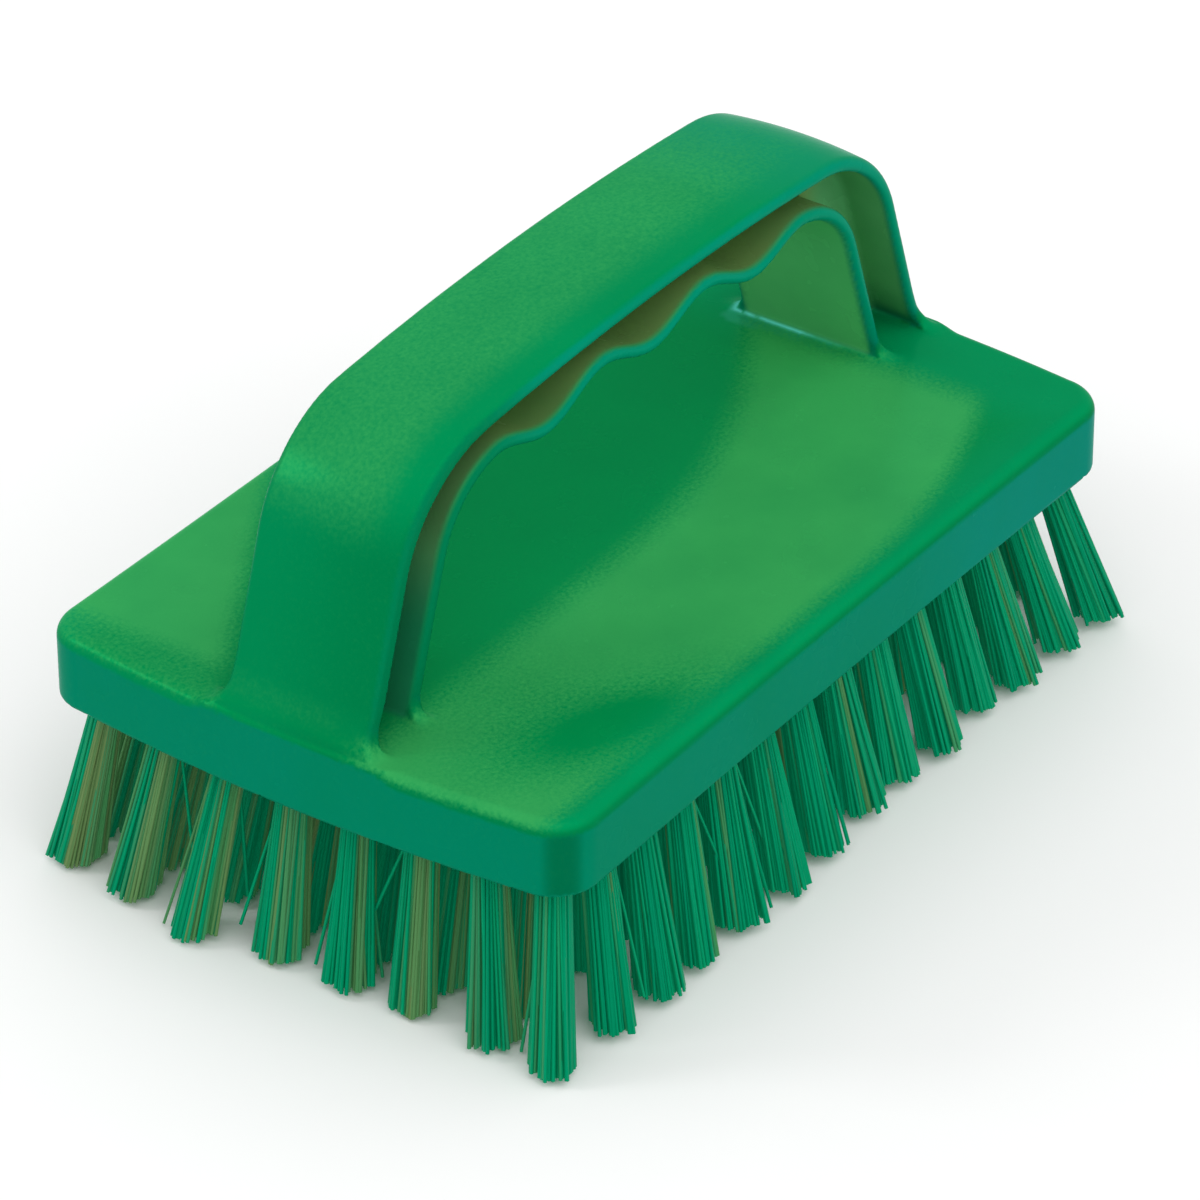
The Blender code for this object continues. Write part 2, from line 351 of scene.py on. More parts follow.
bristleColors = dict(dark=(0.000, 0.205, 0.095), green=(0.000, 0.243, 0.107), bright=(0.003, 0.282, 0.122),
                     olive=(0.055, 0.230, 0.078), brown=(0.118, 0.200, 0.068))
bristleFinish = dict(greenAt=0.45, earthSpan=(0.2, 0.8), rootLength=0.30, rootShade=0.35,
                     roughness=0.42, ior=1.53, specular=0.10, tint=(0.05, 1.0, 0.85), glow=0.17)


def makeBristleGreen():
    material, n, shader = newMaterial("bristleGreen")
    look = bristleFinish
    tone = n.attribute("tone")
    ramp = n.add("ShaderNodeValToRGB", tone)
    stops = ramp.color_ramp.elements
    stops[0].position, stops[0].color = 0.0, rgba(bristleColors["dark"])
    stops[1].position, stops[1].color = 1.0, rgba(bristleColors["bright"])
    stops.new(look["greenAt"]).color = rgba(bristleColors["green"])
    earthTone = n.span(tone, *look["earthSpan"], 0.0, 1.0)
    earth = n.mix(earthTone, rgba(bristleColors["brown"]), rgba(bristleColors["olive"]))
    color = n.mix(n.attribute("brown"), ramp.outputs[0], earth)
    # painted shade: darker towards the roots
    shade = n.span(n.attribute("along"), 0.0, look["rootLength"], look["rootShade"], 0.0)
    color = n.mix(shade, color, rgba(bristleColors["dark"]))
    n.put(shader.inputs["Base Color"], color)
    # a faint glow stands for the light that passes through the thin filaments
    n.put(shader.inputs["Emission Color"], color)
    setSockets(shader, {"Roughness": look["roughness"], "IOR": look["ior"],
                        "Specular IOR Level": look["specular"], "Specular Tint": rgba(look["tint"]),
                        "Emission Strength": look["glow"]})
    return material


steelFinish = dict(dark=(0.50, 0.50, 0.49), light=(0.70, 0.70, 0.68), stretch=(4000.0, 60.0, 4000.0),
                   streak=(1.0, 3.0), streakSpan=(0.3, 0.7), roughness=(0.22, 0.38))


def makeAnchorSteel():
    material, n, shader = newMaterial("anchorSteel")
    look = steelFinish
    drawn = n.add("ShaderNodeMapping", n.add("ShaderNodeTexCoord").outputs["Object"])
    setSockets(drawn, {"Scale": look["stretch"]})
    streak = n.noise(drawn.outputs[0], *look["streak"])
    n.put(shader.inputs["Base Color"], n.mix(streak, rgba(look["dark"]), rgba(look["light"])))
    n.put(shader.inputs["Roughness"], n.span(streak, *look["streakSpan"], *look["roughness"]))
    setSockets(shader, {"Metallic": 1.0})
    return material


mouldedGreen = makeMouldedGreen()
bristleGreen = makeBristleGreen()
anchorSteel = makeAnchorSteel()
print("materials made")


# moulding: the CAD block's shape, remeshed finely and settled onto the soft edged surface

remesh = dict(weld=0.00001, voxel=0.00058, triangles=186000, stages=5, firstRounds=6, stageRounds=3,
              lastRounds=4, relaxRounds=3, relaxShare=0.5, relaxSettle=2, leastSlope=1e-9)
# the finger grip as it is in the CAD, from which the net is drawn over to the seen one
gripBefore = dict(foot=0.0595, rise=0.0349, lean=15.0, bend=0.0130, wave=0.0030)
# the plug that fills the pocket for the bristle rows, set in from the block's outline
plug = dict(endInset=0.0015, sideInset=0.0020, lift=0.0002, below=0.004)


def fillPocket(mesh):
    # the plug goes into the same mesh
    x = block["length"] / 2 - plug["endInset"]
    y = block["width"] / 2 - plug["sideInset"]
    levels = (block["bottom"] + plug["lift"], block["top"] - plug["below"])
    corners = [(sx * x, sy * y, z) for z in levels for sx in (-1, 1) for sy in (-1, 1)]
    quads = [(0, 1, 3, 2), (4, 6, 7, 5), (0, 4, 5, 1), (2, 3, 7, 6), (0, 2, 6, 4), (1, 5, 7, 3)]
    count = len(mesh.vertices)
    faces = [tuple(p.vertices) for p in mesh.polygons] + [tuple(count + i for i in q) for q in quads]
    joined = bpy.data.meshes.new("mouldingBase")
    joined.from_pydata([tuple(p) for p in meshPoints(mesh)] + corners, [], faces)
    return joined


def relax(mesh, points, rounds):
    # evens out the mesh along the surface
    edges = np.empty(len(mesh.edges) * 2, np.int64)
    mesh.edges.foreach_get("vertices", edges)
    a, b = edges.reshape(-1, 2).T
    size = len(points)
    count = np.bincount(a, minlength=size) + np.bincount(b, minlength=size)
    for _ in range(rounds):
        total = np.stack([np.bincount(a, points[b, k], size) + np.bincount(b, points[a, k], size)
                          for k in range(3)], 1)
        points = points + remesh["relaxShare"] * (total / count[:, None] - points)
        points = settle(points, remesh["relaxSettle"])
    return points


# tones by place: a pair is where a change of tone starts and where it is full, in metres or as a part of
# a facing direction

tone = {key: np.array(value) for key, value in mouldedColors.items()}
# the painted-light patches on the block's top, lighter olive, right of the handle and at its near left corner
paintedLight = dict(shadeLine=-0.010, shadeStart=-0.005, shadeCurve=5.5, shadeEdge=(-0.002, 0.006),
             sideLine=-0.044, sideStart=0.010, sideCurve=4.5, sideEdge=(-0.0015, 0.0035),
             farEnd=(0.054, 0.063), leftLine=0.024, leftStart=-0.056, leftSlope=0.571,
             leftEdge=(-0.003, 0.003), nearEnd=(0.063, 0.069), nearFade=0.7)
# the oval shadow of the near leg on the right patch, and a dimmer band across it
legShade = dict(x=-0.046, y=-0.036, slant=(0.93, 0.366), length=0.019, width=0.0075, depth=1.25,
                bandX=-0.050, bandWidth=0.012, bandDepth=0.35)
# where the painted light and shade go on the block: the upright sides' lighter far end, the top's far end and
# long edges, and the near corner's painted shade
blockPaint = dict(farSide=(-0.020, 0.070), sideFacing=-0.5, farEnd=(0.050, 0.064), sideEdge=(0.036, 0.046),
                  diagonal=0.7071, cornerFacing=(0.88, 1.0), cornerTilt=(0.1, 0.4))
# where tones change on the handle: the legs' painted light and shade, the handle's painted-light patches, and
# its rims' painted light and shade
handlePaint = dict(start=(0.0015, 0.0045), level=(0.35, 0.85), legTilt=(0.10, 0.30), legBack=(-0.012, 0.012),
                   sideStart=0.004, sideSlope=0.2, sideReach=0.03, sideFull=0.010, farEnd=(0.020, 0.046),
                   sun=0.28, sunSide=(0.003, 0.0100), sunFar=(0.030, 0.048), sunFade=0.7,
                   rimLow=(0.026, 0.044), rimFacing=(0.45, 0.85))
# where the painted shade and painted light inside the channels go
channelPaint = dict(liningDepth=(0.0003, 0.0006), liningAcross=(0.0108, 0.0120), liningStart=(0.0, 0.0012),
                    hollowDepth=(-0.0006, -0.0002), hollowAcross=(0.0110, 0.0122),
                    hollowStart=(0.0002, 0.0010), farTone=(0.050, 0.058),
                    nearFoot=(0.032, 0.046), nearHeight=(0.012, 0.036), nearFade=0.6,
                    farFoot=(0.050, 0.056), farHeight=(0.000, 0.009), farShare=0.5,
                    shade=0.40, shadeTilt=(0.2, 0.7), shadeHeight=(0.004, 0.010))
# a painted highlight along the foot of the far leg
footGlint = dict(x=0.0588, halfWidth=0.0024, height=0.0020, tilt=0.70, tiltSpread=0.22,
                 end=(0.0140, 0.0150), faint=0.30, bright=(-0.0010, 0.0010), start=(-0.0075, -0.0050))


def lay(color, other, weight):
    # lays another tone over the colour, as far as the weight goes
    return color + (other - color) * weight[:, None]


def paintedLightPatches(x, y):
    # how far each place on the block's top is in a lighter painted-light patch, less where the near leg's
    # painted shadow lies
    shadeLine = paintedLight["shadeLine"] + paintedLight["shadeCurve"] * np.maximum(x - paintedLight["shadeStart"], 0) ** 2
    sideLine = paintedLight["sideLine"] + paintedLight["sideCurve"] * np.maximum(x - paintedLight["sideStart"], 0) ** 2
    right = ramp01(shadeLine - y, *paintedLight["shadeEdge"]) * ramp01(y - sideLine, *paintedLight["sideEdge"])
    right = right * (1 - ramp01(x, *paintedLight["farEnd"]))
    dx, dy = x - legShade["x"], y - legShade["y"]
    slantX, slantY = legShade["slant"]
    along = dx * slantX - dy * slantY
    aside = dx * slantY + dy * slantX
    oval = np.exp(-(along / legShade["length"]) ** 2 - (aside / legShade["width"]) ** 2)
    band = np.exp(-((x - legShade["bandX"]) / legShade["bandWidth"]) ** 2)
    right = right * (1 - np.clip(legShade["depth"] * oval, 0, 1)) * (1 - legShade["bandDepth"] * band)
    left = ramp01(y - paintedLight["leftLine"] - paintedLight["leftSlope"] * (x - paintedLight["leftStart"]), *paintedLight["leftEdge"])
    left = left * (1 - paintedLight["nearFade"] * ramp01(-x, *paintedLight["nearEnd"]))
    return np.where(y > skin["halfWidth"], left, right)


def handleTone(x, y):
    # the handle's top, darker to its right side and bluer to its far end
    sideStart = handlePaint["sideStart"] - handlePaint["sideSlope"] * np.clip(x, 0, handlePaint["sideReach"])
    top = lay(tone["handleTop"], tone["handleSide"], ramp01(-y, sideStart, handlePaint["sideFull"]))
    return lay(top, tone["handleFar"], ramp01(x, *handlePaint["farEnd"]))


def channelWeights(x, y, z):
    # where painted light and shade go inside the handle: the flange's inner face, and the hollow between the
    # skin and the flange
    h = z - block["top"]
    inside = skin["crown"] * bow(y / skin["halfWidth"]) - archDistance(x, z, skin) - skin["thickness"]
    over = archDistance(x, z + fingerWave(x), grip)
    lining = fall01(np.abs(over), *channelPaint["liningDepth"]) * fall01(y, *channelPaint["liningAcross"])
    lining = lining * ramp01(h, *channelPaint["liningStart"])
    start, full = channelPaint["hollowDepth"]
    hollow = ramp01(inside, start, full) * ramp01(over, grip["thickness"] + start, grip["thickness"] + full)
    hollow = hollow * fall01(y, *channelPaint["hollowAcross"]) * ramp01(h, *channelPaint["hollowStart"])
    return lining, hollow


def channelTone(x, h, up):
    # brown olive painted shade, lighter at the far leg as painted light in its deep shade, greener at the
    # feet and darker where it faces up, as painted shade
    near = ramp01(-x, *channelPaint["nearFoot"])
    near = near * (1 - channelPaint["nearFade"] * ramp01(h, *channelPaint["nearHeight"]))
    far = ramp01(x, *channelPaint["farFoot"]) * (1 - ramp01(h, *channelPaint["farHeight"]))
    foot = near + far * channelPaint["farShare"]
    shade = channelPaint["shade"] * ramp01(up, *channelPaint["shadeTilt"])
    shade = shade * ramp01(h, *channelPaint["shadeHeight"])
    color = lay(tone["channel"], tone["channelFar"], ramp01(x, *channelPaint["farTone"]))
    return lay(color, tone["channelFoot"], foot) * (1 - shade)[:, None]


def paintedFootGlint(x, y, h, up):
    # a painted highlight: the bright line along the foot of the far leg, inside the grip
    line = np.exp(-((up - footGlint["tilt"]) / footGlint["tiltSpread"]) ** 2)
    line = line * (np.abs(x - footGlint["x"]) < footGlint["halfWidth"]) * (h < footGlint["height"])
    strength = footGlint["faint"] + (1 - footGlint["faint"]) * ramp01(y, *footGlint["bright"])
    return line * fall01(np.abs(y), *footGlint["end"]) * strength * ramp01(y, *footGlint["start"])


def paintMoulding(mesh, points, normals):
    # the plastic's tones by place and facing, most of them painted light and shade: a top with painted-light
    # patches, teal sides and rims toned by facing, brown olive painted shade inside the handle's channels
    x, y, z = points.T
    h = z - block["top"]
    ax, ay = np.abs(x), np.abs(y)
    facingX, facingY, up = normals.T

    # block and legs, toned by facing and place as painted light and shade
    # upright sides teal, lighter towards the far end as painted light
    farSide = ramp01(x, *blockPaint["farSide"]) * (facingY < blockPaint["sideFacing"])
    color = lay(tone["side"], tone["sideFar"], farSide)
    # leaning faces darker green as painted shade, lighter on their +y half
    leg = lay(tone["leg"], tone["legBack"], ramp01(y, *handlePaint["legBack"]))
    color = lay(color, leg, ramp01(up, *handlePaint["legTilt"]))
    onHandle = ramp01(h, *handlePaint["start"])
    flat = ramp01(up, *handlePaint["level"])
    # the block's top darker green in painted shade, bluer towards its far end and long edges
    color = lay(color, tone["dark"], flat * (1 - onHandle))
    farTop = np.maximum(ramp01(x, *blockPaint["farEnd"]), ramp01(ay, *blockPaint["sideEdge"]))
    color = lay(color, tone["darkFar"], flat * (1 - onHandle) * farTop)

    # handle with its painted-light patches, its rims in painted light and shade, and the block's near corner
    # in painted shade
    color = lay(color, handleTone(x, y), flat * onHandle)
    # painted light on the handle's top, less towards its right side and far end
    handlePaintedLight = handlePaint["sun"] * (1 - ramp01(-y, *handlePaint["sunSide"]))
    handlePaintedLight = handlePaintedLight * (1 - handlePaint["sunFade"] * ramp01(x, *handlePaint["sunFar"]))
    # painted-light patches on the block's top and the handle's top
    sun = flat * ((1 - onHandle) * paintedLightPatches(x, y) + onHandle * handlePaintedLight)
    # the handle's upright rims lighter teal as painted light, darker green on the near leg as painted shade
    rim = lay(tone["rim"], tone["rimLow"], ramp01(-x, *handlePaint["rimLow"]))
    color = lay(color, rim, onHandle * ramp01(np.abs(facingY), *handlePaint["rimFacing"]))
    # painted shade on upright faces turned towards the -x -y diagonal: the block's near corner
    corner = ramp01(-(facingX + facingY) * blockPaint["diagonal"], *blockPaint["cornerFacing"])
    corner = corner * fall01(np.abs(up), *blockPaint["cornerTilt"])
    color = lay(color, tone["corner"], corner * (1 - onHandle))

    # channels in painted shade and painted light, and the painted highlight at the far foot
    lining, hollow = channelWeights(ax, ay, z)
    # the flange's inner face a lighter olive, painted light in its shade
    color = lay(color, tone["inner"], lining)
    color = lay(color, channelTone(x, h, up), hollow)
    # a painted highlight along the far foot
    glint = paintedFootGlint(x, y, h, up)
    color = lay(color, tone["glint"], glint)
    sun = sun * (1 - np.maximum(np.maximum(hollow, lining), glint))

    values = np.ones((len(points), 4))
    values[:, :3] = color
    layer = mesh.color_attributes.new("paint", "FLOAT_COLOR", "POINT")
    layer.data.foreach_set("color", values.ravel())
    addNumbers(mesh, "sun", sun)


def makeMoulding():
    shape = addObject("moulding", fillPocket(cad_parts["handle_block"].data))
    weld = shape.modifiers.new("weld", "WELD")
    weld.merge_threshold = remesh["weld"]
    net = shape.modifiers.new("net", "REMESH")
    net.mode = "VOXEL"
    net.voxel_size = remesh["voxel"]
    shape.modifiers.new("triangles", "TRIANGULATE")
    mesh = takeMesh(shape)
    points = meshPoints(mesh)
    seen = dict(grip, nearExtra=skin["nearExtra"])
    for stage in range(remesh["stages"]):
        # small steps, so that no point lands on the wrong side of a thin wall
        share = stage / (remesh["stages"] - 1)
        grip.update({key: value + (seen[key] - value) * share for key, value in gripBefore.items()})
        skin["nearExtra"] = seen["nearExtra"] * share
        rounds = remesh["firstRounds"] if stage == 0 else remesh["stageRounds"]
        points = relax(mesh, settle(points, rounds), 1)
    points = relax(mesh, points, remesh["relaxRounds"])
    mesh.vertices.foreach_set("co", points.ravel())
    mesh.update()
    shape.data = mesh
    print("moulding net:", len(mesh.polygons), "triangles")
    thin = shape.modifiers.new("thin", "DECIMATE")
    thin.ratio = min(1.0, remesh["triangles"] / len(mesh.polygons))
    mesh = takeMesh(shape)
    points = settle(meshPoints(mesh), remesh["lastRounds"])
    mesh.vertices.foreach_set("co", points.ravel())
    mesh.shade_smooth()
    slopes = gradient(points)
    normals = slopes / np.maximum(np.linalg.norm(slopes, axis=1), remesh["leastSlope"])[:, None]
    paintMoulding(mesh, points, normals)
    mesh.materials.clear()
    mesh.materials.append(mouldedGreen)
    mesh.normals_split_custom_set_from_vertices([tuple(v) for v in normals])
    mesh.update()
    shape.data = mesh
    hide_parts("handle_block")
    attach(shape, "root")
    print("moulding done:", len(mesh.polygons), "triangles")


makeMoulding()


# bristles: a guide line for each tuft, and Geometry Nodes that grow its filaments

tufts = dict(rows=14, across=8, rowPitch=0.010046, acrossPitch=0.011371, rootRadius=0.00225,
             tipRadius=0.00315, rootHeight=0.0315, tipHeight=0.0010, sideLift=0.0007,
             leanX=0.0073, leanY=0.0052, lastX=0.0653, lastY=0.0398, rootLeanShare=0.05,
             brownNear=0.52, brownStep=0.14, brownLeast=0.10, brownRight=0.45, brownAcross=0.8,
             filaments=230, thickness=0.00060, trim=0.0004, bend=0.00018, clump=0.00075, strays=0.010,
             seed=7, seedStep=100)
# how single tufts lean, in millimetres, measured in the photo: the near row and the second row
# from their left ends, and the long side's row from the near corner
measured = dict(nearX=(-4.5, -6.9, -10.1, -7.4, -6.9, -6.8, -6.9, -7.8),
                nearY=(4.4, 3.5, 1.1, -1.0, -2.1, -2.3, -5.3, -5.2),
                secondX=(-6.2, -8.0, -8.6, -8.7, -9.2, -9.8, -8.2, -4.6),
                sideX=(-6.2, -4.6, -3.5, -4.2, -3.2, -1.8, -0.6, 2.0, 1.4, 2.2, 3.9, 3.8, 5.8, 6.4),
                sideY=(-5.6, -6.4, -6.8, -6.8, -7.1, -7.6, -6.7, -5.0, -5.3, -6.7, -5.0, -6.2, -6.7, -7.5))
# single filaments that stray, in millimetres: row, root along, root across, tip along, tip across, tip height
strayFilaments = ((0, -65.3, 28.0, -68.5, 23.0, 8.0), (0, -65.3, 17.1, -68.5, 13.2, 5.0),
                  (0, -65.3, 5.7, -73.0, 11.4, 3.0), (0, -65.3, -5.7, -72.0, -1.9, 0.6),
                  (0, -65.3, -5.7, -69.5, -12.0, 1.0), (0, -65.3, -17.1, -68.5, -10.3, 12.0),
                  (0, -65.3, -28.4, -69.0, -35.0, 4.5), (0, -65.3, -39.8, -72.0, -38.6, 0.4),
                  (1, -53.2, -39.8, -53.2, -47.0, 2.5), (3, -35.0, -39.8, -27.0, -46.8, 0.4),
                  (4, -23.5, -39.8, -17.2, -46.9, 0.4), (4, -25.1, -39.8, -26.0, -50.1, 0.6))
perMetre = 1000
# how filaments grow in a tuft: a slack is how far a thing may differ by chance, a power how late it sets in
growth = dict(guidePoints=6, goldenAngle=2.39996, fullTurn=6.28, angleSlack=0.35, spreadPower=1.15,
              radiusSlack=(0.92, 1.08), tuftSpread=0.24, bendSlack=(0.2, 1.6), strayBend=(4.0, 9.0),
              bendPower=1.6, seatStep=1.7, swirlScale=2.2, swirlDetail=1.0, clumpGain=5.0, clumpPower=1.3,
              raggedNoise=(1.6, 1.0), raggedSpan=(0.3, 0.7), raggedSlack=0.14, trimPower=6.0,
              toneSpan=(0.3, 0.7), toneRange=(0.15, 0.85), toneSlack=0.14,
              brownNoise=(1.1, 1.0), brownSpan=(0.32, 0.68), brownSlack=0.18, brownEdge=0.15,
              sides=4, thicknessSlack=(0.88, 1.12), fullFrom=0.8, rootThickness=0.74)


def addBristleSockets(tree):
    # the tree's named inputs and its output, by name and identifier
    sockets = {}

    def socket(name, kind, inOut="INPUT"):
        made = tree.interface.new_socket(name, in_out=inOut, socket_type="NodeSocket" + kind)
        sockets[name] = made.identifier

    socket("Geometry", "Geometry")
    for name in ("Filaments", "Seed"):
        socket(name, "Int")
    for name in ("Root Radius", "Tip Radius", "Thickness", "Trim", "Bend", "Clump", "Strays"):
        socket(name, "Float")
    socket("Material", "Material")
    socket("Geometry", "Geometry", "OUTPUT")
    return sockets


def buildBristleTree():
    tree = bpy.data.node_groups.new("bristleTufts", "GeometryNodeTree")
    sockets = addBristleSockets(tree)
    n = Nodes(tree)
    given = n.add("NodeGroupInput").outputs

    def chance(low, high, identity, seedStep):
        node = n.add("FunctionNodeRandomValue", data_type="FLOAT")
        n.put(node.inputs[2], low)
        n.put(node.inputs[3], high)
        n.put(node.inputs["ID"], identity)
        n.put(node.inputs["Seed"], n.plus(given["Seed"], float(seedStep)))
        return node.outputs[1]

    def slack(size, seedStep):
        return chance(-size, size, which, seedStep)

    def keep(geometry, value):
        # fixes a number for each curve
        node = n.add("GeometryNodeCaptureAttribute", domain="CURVE")
        node.capture_items.new("FLOAT", "value")
        n.put(node.inputs[0], geometry)
        n.put(node.inputs[1], value)
        return node.outputs[0], node.outputs[1]

    def store(geometry, name, value):
        node = n.add("GeometryNodeStoreNamedAttribute", domain="POINT", data_type="FLOAT")
        n.put(node.inputs["Geometry"], geometry)
        n.put(node.inputs["Name"], name)
        n.put(node.inputs["Value"], value)
        return node.outputs[0]

    def stored(name):
        return n.add("GeometryNodeInputNamedAttribute", name, data_type="FLOAT").outputs[0]

    def sideStep(angle, length):
        return n.vector(n.times(n.calc("COSINE", angle), length), n.times(n.calc("SINE", angle), length))

    # a line for each filament: many in a tuft, and one where the guide is a single filament's
    lines = n.add("GeometryNodeResampleCurve", n.add("GeometryNodeMeshToCurve", given["Geometry"]).outputs[0])
    n.put(lines.inputs["Count"], growth["guidePoints"])
    index = n.add("GeometryNodeInputIndex").outputs[0]
    guides, tuft = keep(lines.outputs[0], index)
    guides, single = keep(guides, stored("single"))
    bundle = n.minus(1.0, single)
    copies = n.add("GeometryNodeDuplicateElements", guides, domain="SPLINE")
    n.put(copies.inputs["Amount"], n.plus(n.times(bundle, given["Filaments"]), single))
    hairs, number = keep(copies.outputs[0], copies.outputs[1])
    hairs, which = keep(hairs, index)

    # a sunflower spread over the round bundle, turned at random for each tuft
    share = n.calc("SQRT", n.calc("DIVIDE", n.plus(number, 0.5), given["Filaments"]))
    angle = n.plus(n.times(number, growth["goldenAngle"]), chance(0.0, growth["fullTurn"], tuft, 1))
    angle = n.plus(angle, slack(growth["angleSlack"], 2))
    t = n.add("GeometryNodeSplineParameter").outputs["Factor"]
    spread = n.minus(given["Tip Radius"], given["Root Radius"])
    radius = n.plus(given["Root Radius"], n.times(spread, n.calc("POWER", t, growth["spreadPower"])))
    radius = n.times(radius, share, chance(*growth["radiusSlack"], which, 3))
    wide = n.plus(1.0, n.times(t, chance(0.0, growth["tuftSpread"], tuft, 12)))
    out = sideStep(angle, n.times(radius, wide, bundle))

    # each filament bends a little its own way, and a few stray widely
    astray = n.calc("LESS_THAN", chance(0.0, 1.0, which, 5), given["Strays"])
    strayBend = n.times(astray, chance(*growth["strayBend"], which, 7))
    bend = n.times(given["Bend"], n.plus(chance(*growth["bendSlack"], which, 6), strayBend),
                   n.calc("POWER", t, growth["bendPower"]))
    aside = sideStep(chance(0.0, growth["fullTurn"], which, 4), bend)

    # filaments that stand together lean together, and end at like heights
    seat = n.vector(n.calc("COSINE", angle), n.calc("SINE", angle), tuft)
    seat = n.vectorCalc("MULTIPLY", seat, n.vector(share, share, 1.0))
    seat = n.vectorCalc("ADD", seat, n.vector(0.0, 0.0, n.times(given["Seed"], growth["seatStep"])))
    swirl = n.add("ShaderNodeTexNoise", seat)
    setSockets(swirl, {"Scale": growth["swirlScale"], "Detail": growth["swirlDetail"]})
    drift = n.vectorCalc("ADD", swirl.outputs["Color"], (-0.5, -0.5, -0.5))
    drift = n.vectorCalc("MULTIPLY", drift, (1.0, 1.0, 0.0))
    drift = n.add("ShaderNodeVectorMath", drift, operation="SCALE")
    late = n.calc("POWER", t, growth["clumpPower"])
    n.put(drift.inputs["Scale"], n.times(given["Clump"], growth["clumpGain"], bundle, late))
    aside = n.vectorCalc("ADD", aside, drift.outputs[0])
    ragged = n.span(n.noise(seat, *growth["raggedNoise"]), *growth["raggedSpan"], -1.0, 1.0)
    ragged = n.plus(ragged, slack(growth["raggedSlack"], 8))
    lift = n.times(ragged, given["Trim"], n.calc("POWER", t, growth["trimPower"]))
    move = n.vectorCalc("ADD", n.vectorCalc("ADD", out, aside), n.vector(0.0, 0.0, lift))
    moved = n.add("GeometryNodeSetPosition", hairs)
    n.put(moved.inputs["Offset"], move)

    # tones that the bristles' material reads
    clumpTone = n.span(swirl.outputs[0], *growth["toneSpan"], *growth["toneRange"])
    hairs = store(moved.outputs[0], "tone", n.plus(clumpTone, slack(growth["toneSlack"], 9)))
    hairs = store(hairs, "along", t)
    patch = n.span(n.noise(seat, *growth["brownNoise"]), *growth["brownSpan"], 0.0, 1.0)
    patch = n.plus(patch, slack(growth["brownSlack"], 10))
    brown = n.minus(patch, n.minus(1.0, stored("tuftBrown")))
    hairs = store(hairs, "brown", n.span(brown, -growth["brownEdge"], growth["brownEdge"], 0.0, 1.0))

    # a tube along each line, a little thinner at the root
    ring = n.add("GeometryNodeCurvePrimitiveCircle")
    setSockets(ring, {"Resolution": growth["sides"], "Radius": 1.0})
    tubes = n.add("GeometryNodeCurveToMesh", hairs, ring.outputs[0])
    taper = n.span(t, 0.0, growth["fullFrom"], growth["rootThickness"], 1.0)
    taper = n.times(chance(*growth["thicknessSlack"], which, 11), taper)
    n.put(tubes.inputs["Scale"], n.times(n.calc("DIVIDE", given["Thickness"], 2.0), taper))
    n.put(tubes.inputs["Fill Caps"], True)
    smooth = n.add("GeometryNodeSetShadeSmooth", tubes.outputs[0])
    real = n.add("GeometryNodeRealizeInstances", smooth.outputs[0])
    dressed = n.add("GeometryNodeSetMaterial", real.outputs[0])
    n.put(dressed.inputs["Material"], given["Material"])
    n.add("NodeGroupOutput", dressed.outputs[0])
    return tree, sockets


def tuftGuides(row):
    # root and tip of each tuft in a row, with how brown its filaments are
    roots, tips, browns = [], [], []
    across = tufts["across"]
    x = (row - (tufts["rows"] - 1) / 2) * tufts["rowPitch"]
    rowBrown = max(tufts["brownLeast"], tufts["brownNear"] - tufts["brownStep"] * row)
    for i in range(across):
        y = (i - (across - 1) / 2) * tufts["acrossPitch"]
        leanX = tufts["leanX"] * x / tufts["lastX"]
        leanY = tufts["leanY"] * y / tufts["lastY"]
        if row == 1:
            leanX = measured["secondX"][-1 - i] / perMetre
        if i == 0:
            leanX, leanY = measured["sideX"][row] / perMetre, measured["sideY"][row] / perMetre
        if row == 0:
            leanX, leanY = measured["nearX"][-1 - i] / perMetre, measured["nearY"][-1 - i] / perMetre
        lift = tufts["sideLift"] if i == 0 and row > 0 else 0
        rootShare = tufts["rootLeanShare"]
        roots.append((x - leanX * rootShare, y - leanY * rootShare, tufts["rootHeight"]))
        tips.append((x + leanX, y + leanY, tufts["tipHeight"] + lift))
        browns.append(rowBrown * (tufts["brownRight"] + tufts["brownAcross"] * i / (across - 1)))
    for strayRow, rootX, rootY, tipX, tipY, tipZ in strayFilaments:
        if strayRow == row:
            roots.append((rootX / perMetre, rootY / perMetre, tufts["rootHeight"]))
            tips.append((tipX / perMetre, tipY / perMetre, tipZ / perMetre))
            browns.append(0.0)
    return roots, tips, browns


def makeBristleRow(row, tree, sockets):
    roots, tips, browns = tuftGuides(row)
    count = len(roots)
    mesh = bpy.data.meshes.new("guides")
    mesh.from_pydata(roots + tips, [(i, i + count) for i in range(count)], [])
    addNumbers(mesh, "tuftBrown", browns + browns)
    singles = [0.0 if i < tufts["across"] else 1.0 for i in range(count)]
    addNumbers(mesh, "single", singles + singles)
    piece = addObject("bristleRow_%02d" % (row + 1), mesh)
    grow = piece.modifiers.new("grow", "NODES")
    grow.node_group = tree
    values = {"Filaments": tufts["filaments"], "Seed": tufts["seed"] + tufts["seedStep"] * row,
              "Root Radius": tufts["rootRadius"], "Tip Radius": tufts["tipRadius"],
              "Thickness": tufts["thickness"], "Trim": tufts["trim"], "Bend": tufts["bend"],
              "Clump": tufts["clump"], "Strays": tufts["strays"], "Material": bristleGreen}
    for key, value in values.items():
        grow[sockets[key]] = value
    piece.data = takeMesh(piece)
    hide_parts("tuft_row_%02d" % (row + 1))
    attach(piece, "root")
    return len(piece.data.polygons)


bristleTree, bristleSockets = buildBristleTree()
faces = sum(makeBristleRow(row, bristleTree, bristleSockets) for row in range(tufts["rows"]))
print("bristles grown:", faces, "faces")

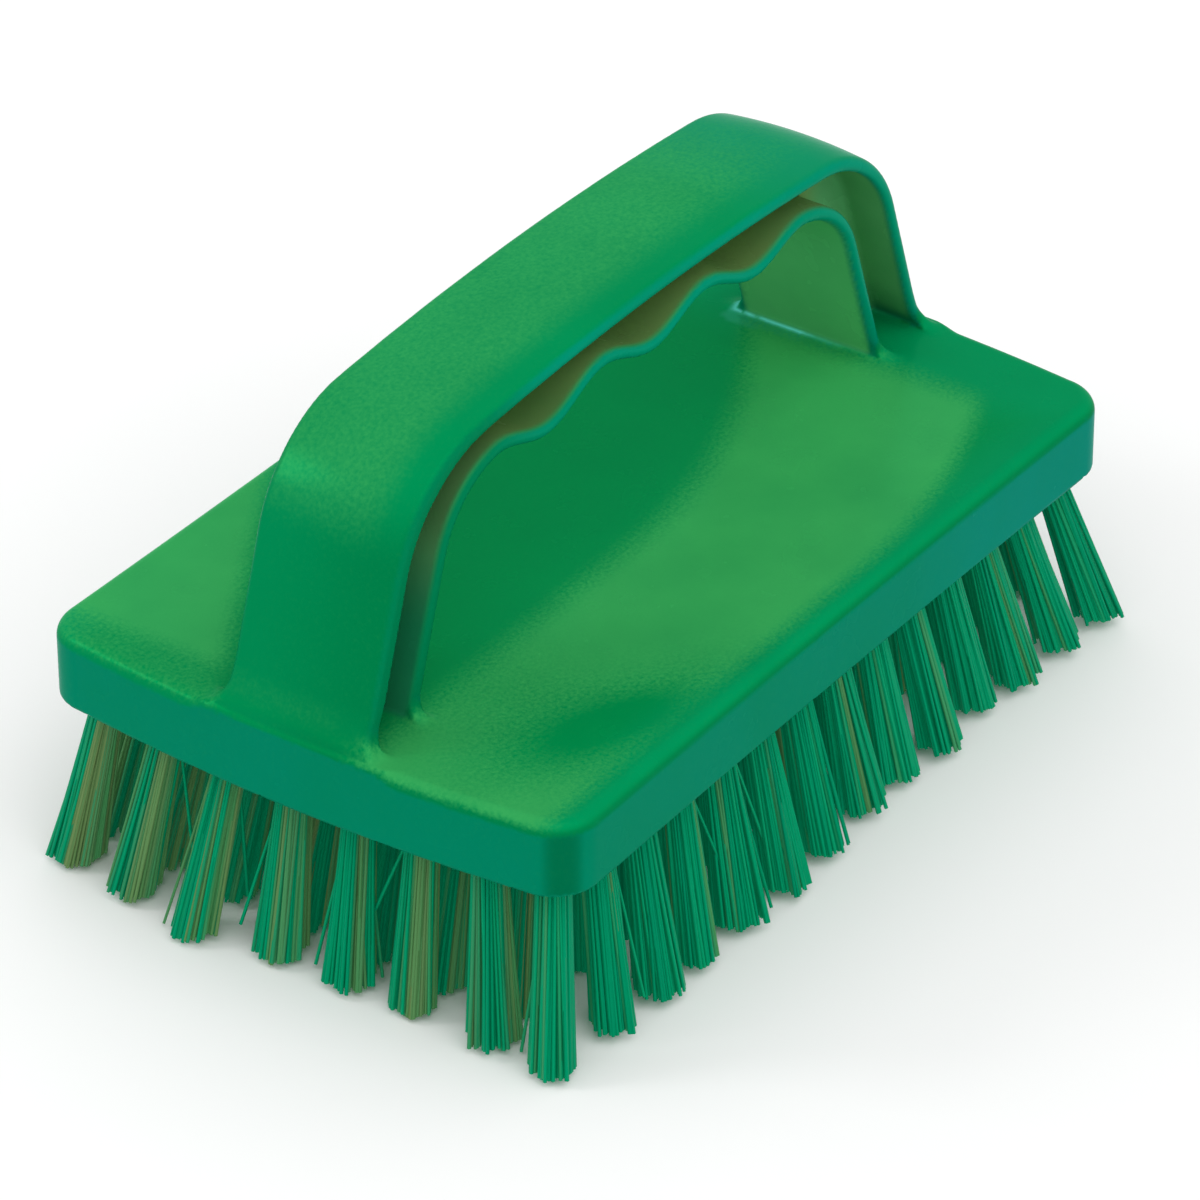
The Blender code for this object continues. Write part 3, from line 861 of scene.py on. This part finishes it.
for name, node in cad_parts.items():
    if name.startswith("anchor_row"):
        node.data.materials.clear()
        node.data.materials.append(anchorSteel)
print("anchors finished")


# floor and light

studio = dict(floor=0.97, floorSize=6.0, floorLevel=-0.0001, floorRoughness=0.9, floorSpecular=0.1,
              fill=0.82, key=0.85, keyAngle=65.0, keyFrom=(-0.25, -0.70, 0.95),
              soft=1.3, softPlace=(-0.50, 0.69, 0.60), softAim=(0, 0, 0.05), softSize=0.26)


def towards(direction):
    # turns a lamp so that its light comes from the direction
    return Vector(direction).to_track_quat("Z", "Y").to_euler()


def makeStudio():
    s, level = studio["floorSize"] / 2, studio["floorLevel"]
    mesh = bpy.data.meshes.new("floor")
    mesh.from_pydata([(-s, -s, level), (s, -s, level), (s, s, level), (-s, s, level)], [], [(0, 1, 2, 3)])
    floor = addObject("floor", mesh)
    material, _, shader = newMaterial("paleFloor")
    setSockets(shader, {"Base Color": rgba([studio["floor"]] * 3), "Roughness": studio["floorRoughness"],
                        "Specular IOR Level": studio["floorSpecular"]})
    mesh.materials.append(material)

    world = bpy.data.worlds.new("studio")
    bpy.context.scene.world = world
    world.use_nodes = True
    n = Nodes(world.node_tree)
    path = n.add("ShaderNodeLightPath").outputs
    seen = n.calc("MAXIMUM", path["Is Camera Ray"], path["Is Glossy Ray"])
    seen = n.calc("MAXIMUM", seen, path["Is Transmission Ray"])
    back = world.node_tree.nodes["Background"]
    setSockets(back, {"Color": (1, 1, 1, 1)})
    n.put(back.inputs["Strength"], n.span(seen, 0.0, 1.0, studio["fill"], 1.0))

    sun = bpy.data.lights.new("key", "SUN")
    sun.energy = studio["key"]
    sun.angle = math.radians(studio["keyAngle"])
    addObject("key", sun).rotation_euler = towards(studio["keyFrom"])

    panel = bpy.data.lights.new("softbox", "AREA")
    panel.size = studio["softSize"]
    panel.energy = studio["soft"]
    box = addObject("softbox", panel)
    box.location = studio["softPlace"]
    box.rotation_euler = towards(Vector(studio["softPlace"]) - Vector(studio["softAim"]))


makeStudio()
bpy.context.scene.view_settings.view_transform = "Standard"
print("studio ready")
